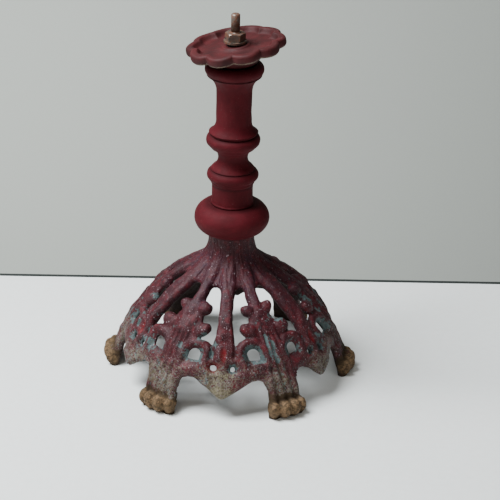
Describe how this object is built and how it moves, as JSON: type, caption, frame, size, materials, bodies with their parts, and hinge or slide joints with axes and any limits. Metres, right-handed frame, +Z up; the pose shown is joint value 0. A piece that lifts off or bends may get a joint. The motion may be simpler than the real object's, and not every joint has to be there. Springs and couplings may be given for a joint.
{
  "type": "cast iron pedestal stand",
  "caption": "Painted cast-iron pedestal stand: openwork base on clawed feet, turned column stacked on a tie rod, loose lobed cap.",
  "frame": {"origin": "on the floor, under the axis of the column", "axes": "+Z up along the column; a foot points along +X and along -X; a pendant point hangs on +Y and on -Y, the front"},
  "size_m": [0.21, 0.192, 0.3032],
  "materials": {
    "base_paint": "worn matt red paint over pale blue undercoat, bare rusty paws",
    "column_paint": "matt dark red paint",
    "cap_paint": "matt dark red paint, worn to brown at the lower edge",
    "old_steel": "dull steel with brown rust"
  },
  "bodies": {
    "stand": {"base_casting": "base_paint", "knop_collar": "column_paint", "drum_section": "column_paint", "waist_section": "column_paint", "shaft_cup_section": "column_paint", "tie_rod": "old_steel", "clamp_plate": "old_steel", "bottom_nut": "old_steel", "cup_washer": "old_steel", "cup_nut": "old_steel", "cap_washer": "old_steel", "cap_nut": "old_steel"},
    "cap": {"lobed_cap": "cap_paint"}
  },
  "joints": [
    {"name": "cap_turn", "type": "hinge", "parent": "stand", "child": "cap", "pos_m": [0, 0, 0.274], "axis": [0, 0, 1], "continuous": true}
  ]
}
